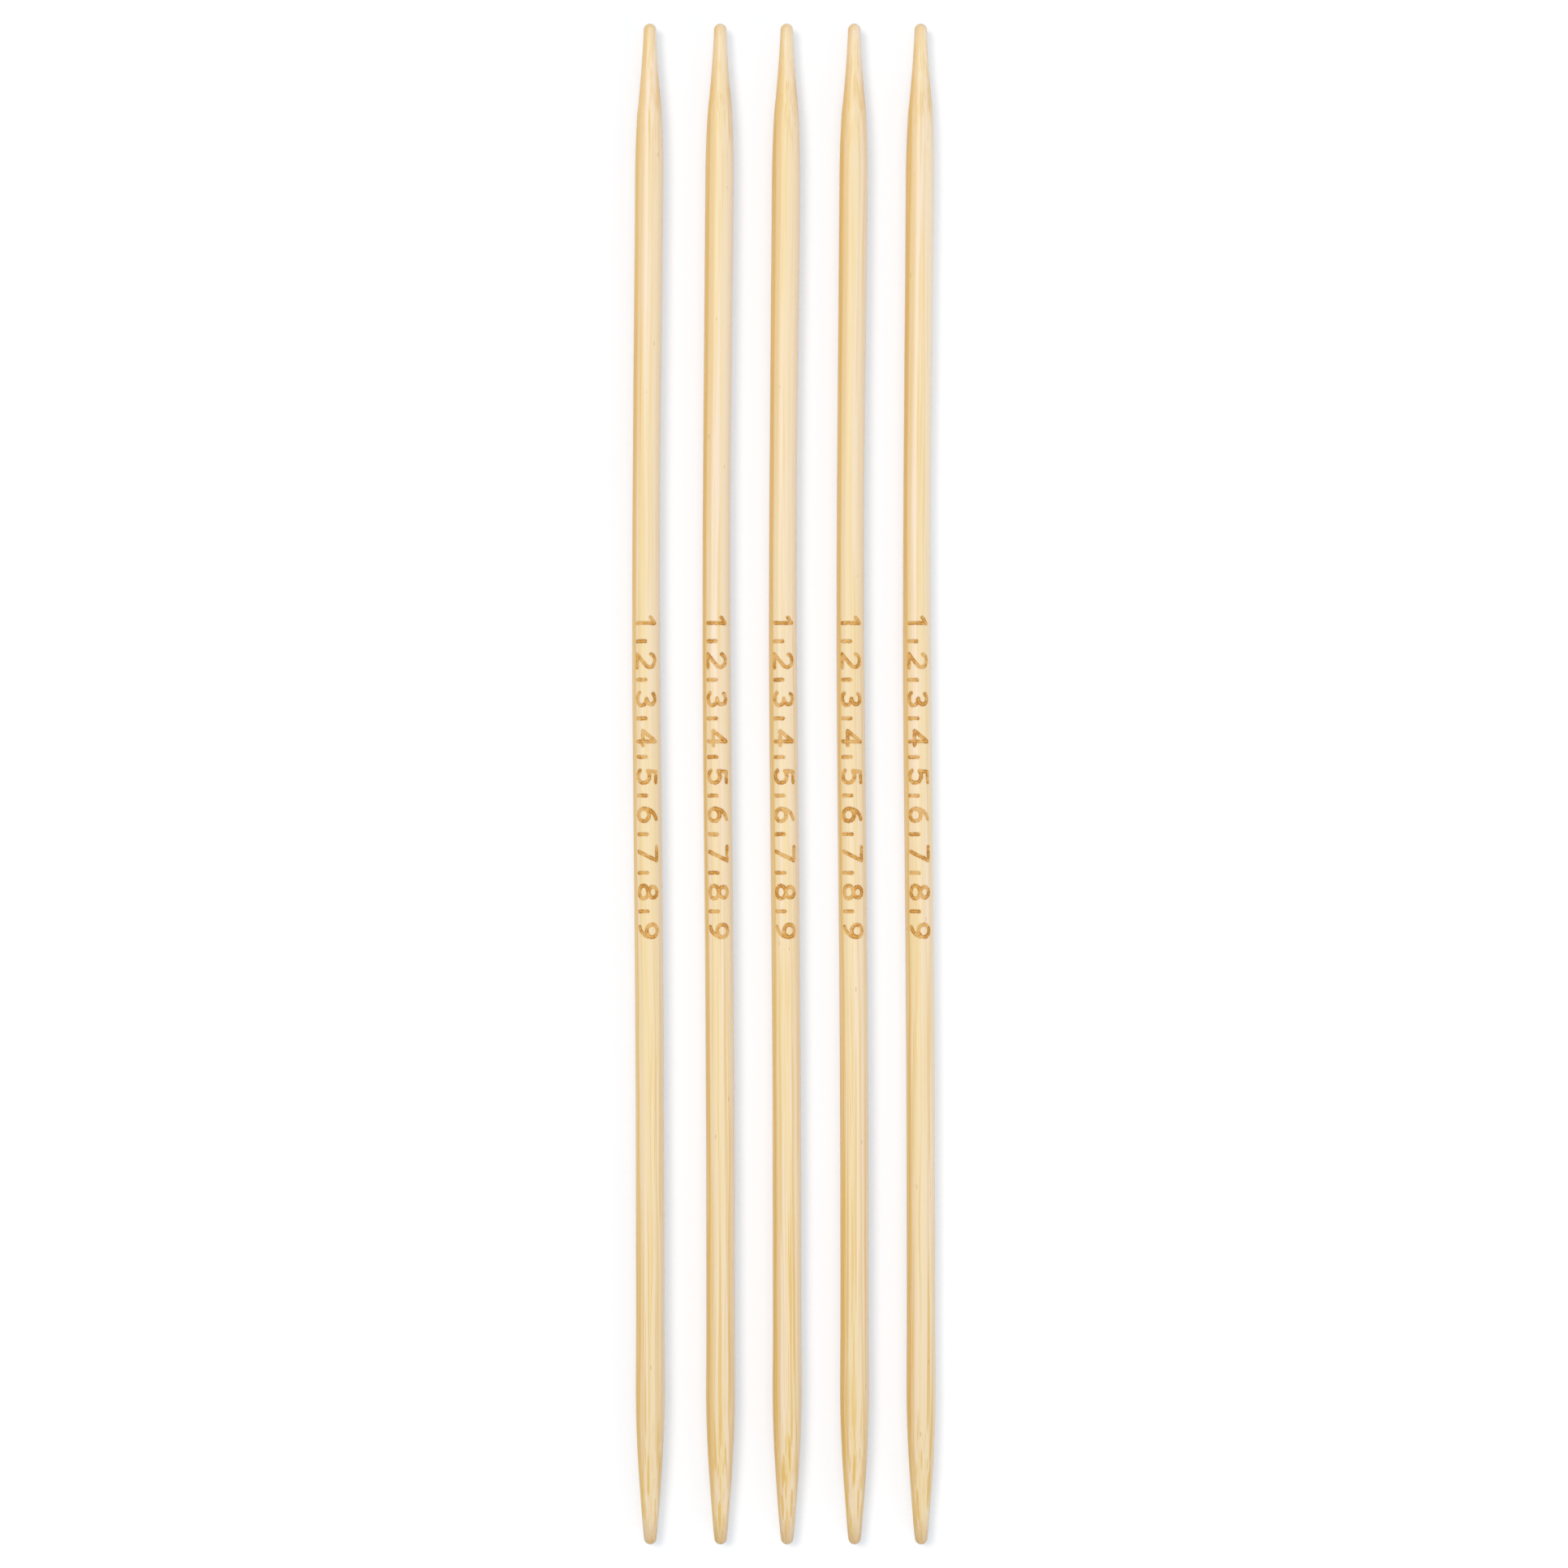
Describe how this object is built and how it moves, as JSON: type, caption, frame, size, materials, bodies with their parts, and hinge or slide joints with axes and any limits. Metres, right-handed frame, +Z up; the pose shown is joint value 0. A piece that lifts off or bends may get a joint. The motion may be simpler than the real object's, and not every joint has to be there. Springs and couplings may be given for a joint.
{
  "type": "double pointed knitting needles",
  "caption": "Loose round bamboo needles with a blunt tapered point at each end, laid side by side, for knitting socks, sleeves and other narrow tubes in the round.",
  "frame": {"origin": "centre of the row's footprint, on the surface that the needles lie on", "axes": "+Y along the needles, +X across the row, +Z up"},
  "size_m": [0.0316, 0.16, 0.003],
  "materials": {
    "bamboo": "satin, fine straight grain"
  },
  "bodies": {
    "needle_1": {"needle_1": "bamboo"},
    "needle_2": {"needle_2": "bamboo"},
    "needle_3": {"needle_3": "bamboo"},
    "needle_4": {"needle_4": "bamboo"},
    "needle_5": {"needle_5": "bamboo"}
  },
  "joints": [
    {"name": "needle_1_lift", "type": "slide", "parent": "needle_3", "child": "needle_1", "axis": [0, 0, 1], "range_m": [0, 0.05]},
    {"name": "needle_2_lift", "type": "slide", "parent": "needle_3", "child": "needle_2", "axis": [0, 0, 1], "range_m": [0, 0.05]},
    {"name": "needle_4_lift", "type": "slide", "parent": "needle_3", "child": "needle_4", "axis": [0, 0, 1], "range_m": [0, 0.05]},
    {"name": "needle_5_lift", "type": "slide", "parent": "needle_3", "child": "needle_5", "axis": [0, 0, 1], "range_m": [0, 0.05]}
  ]
}
